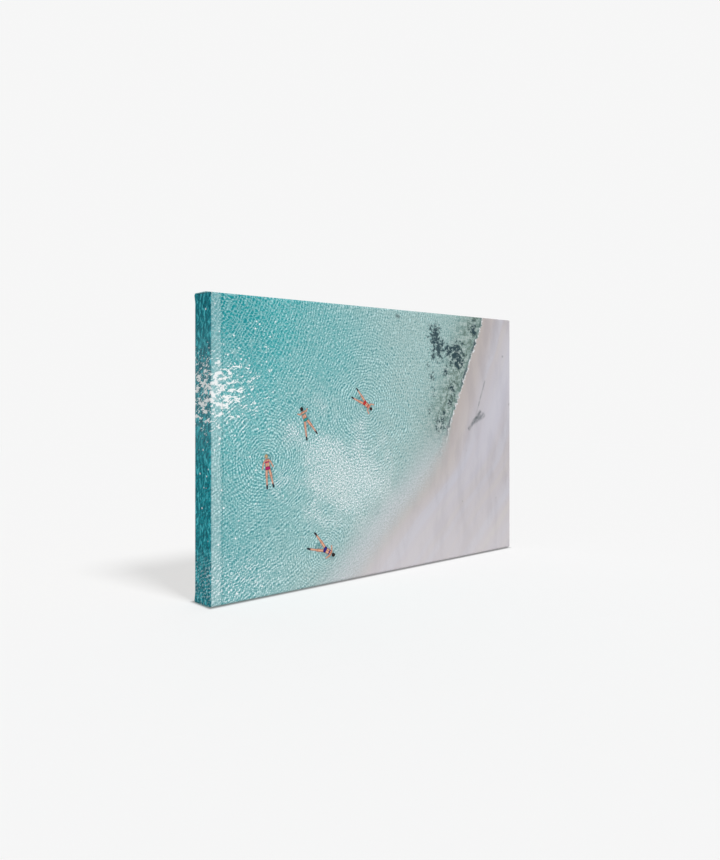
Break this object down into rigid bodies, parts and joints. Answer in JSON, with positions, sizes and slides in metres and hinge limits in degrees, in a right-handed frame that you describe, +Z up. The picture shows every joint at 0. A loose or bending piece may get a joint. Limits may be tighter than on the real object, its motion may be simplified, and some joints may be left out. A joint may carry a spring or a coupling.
{
  "type": "stretched canvas",
  "caption": "Landscape canvas wrapped over a keyed pine stretcher frame, stapled behind, with D-ring hangers.",
  "frame": {"origin": "middle of the footprint, level with the undersides of the folded cloth corners it stands on", "axes": "+X along the width to the viewer's right, picture facing -Y, +Z up"},
  "size_m": [0.3008, 0.0244, 0.2024],
  "materials": {
    "canvas": "satin inkjet print on woven cotton",
    "pine": "planed, unfinished",
    "key_wood": "sawn, unfinished",
    "staple_wire": "galvanised",
    "plated_strap": "zinc plated",
    "plated_wire": "nickel plated"
  },
  "bodies": {
    "frame": {"stretcher_bar_bottom": "pine", "stretcher_bar_right": "pine", "stretcher_bar_top": "pine", "stretcher_bar_left": "pine", "canvas": "canvas", "staples_bottom": "staple_wire", "staples_top": "staple_wire", "staples_right": "staple_wire", "staples_left": "staple_wire", "staples_corners": "staple_wire", "hanger_strap_left": "plated_strap", "hanger_screw_left": "plated_strap", "hanger_strap_right": "plated_strap", "hanger_screw_right": "plated_strap"},
    "corner_key_bottom_left_back": {"corner_key_bottom_left_back": "key_wood"},
    "corner_key_bottom_left_front": {"corner_key_bottom_left_front": "key_wood"},
    "corner_key_bottom_right_back": {"corner_key_bottom_right_back": "key_wood"},
    "corner_key_bottom_right_front": {"corner_key_bottom_right_front": "key_wood"},
    "corner_key_top_right_back": {"corner_key_top_right_back": "key_wood"},
    "corner_key_top_right_front": {"corner_key_top_right_front": "key_wood"},
    "corner_key_top_left_back": {"corner_key_top_left_back": "key_wood"},
    "corner_key_top_left_front": {"corner_key_top_left_front": "key_wood"},
    "hanger_ring_left": {"hanger_ring_left": "plated_wire"},
    "hanger_ring_right": {"hanger_ring_right": "plated_wire"}
  },
  "joints": [
    {"name": "corner_key_bottom_left_back_slide", "type": "slide", "parent": "frame", "child": "corner_key_bottom_left_back", "axis": [1, 0, 0], "range_m": [0, 0.02]},
    {"name": "corner_key_bottom_left_front_slide", "type": "slide", "parent": "frame", "child": "corner_key_bottom_left_front", "axis": [0, 0, 1], "range_m": [0, 0.02]},
    {"name": "corner_key_bottom_right_back_slide", "type": "slide", "parent": "frame", "child": "corner_key_bottom_right_back", "axis": [0, 0, 1], "range_m": [0, 0.02]},
    {"name": "corner_key_bottom_right_front_slide", "type": "slide", "parent": "frame", "child": "corner_key_bottom_right_front", "axis": [-1, 0, 0], "range_m": [0, 0.02]},
    {"name": "corner_key_top_right_back_slide", "type": "slide", "parent": "frame", "child": "corner_key_top_right_back", "axis": [-1, 0, 0], "range_m": [0, 0.02]},
    {"name": "corner_key_top_right_front_slide", "type": "slide", "parent": "frame", "child": "corner_key_top_right_front", "axis": [0, 0, -1], "range_m": [0, 0.02]},
    {"name": "corner_key_top_left_back_slide", "type": "slide", "parent": "frame", "child": "corner_key_top_left_back", "axis": [0, 0, -1], "range_m": [0, 0.02]},
    {"name": "corner_key_top_left_front_slide", "type": "slide", "parent": "frame", "child": "corner_key_top_left_front", "axis": [1, 0, 0], "range_m": [0, 0.02]},
    {"name": "hanger_ring_left_swing", "type": "hinge", "parent": "frame", "child": "hanger_ring_left", "pos_m": [-0.1202, 0.0102, 0.1412], "axis": [-1, 0, 0], "range_deg": [0, 175]},
    {"name": "hanger_ring_right_swing", "type": "hinge", "parent": "frame", "child": "hanger_ring_right", "pos_m": [0.1202, 0.0102, 0.1412], "axis": [-1, 0, 0], "range_deg": [0, 175]}
  ]
}
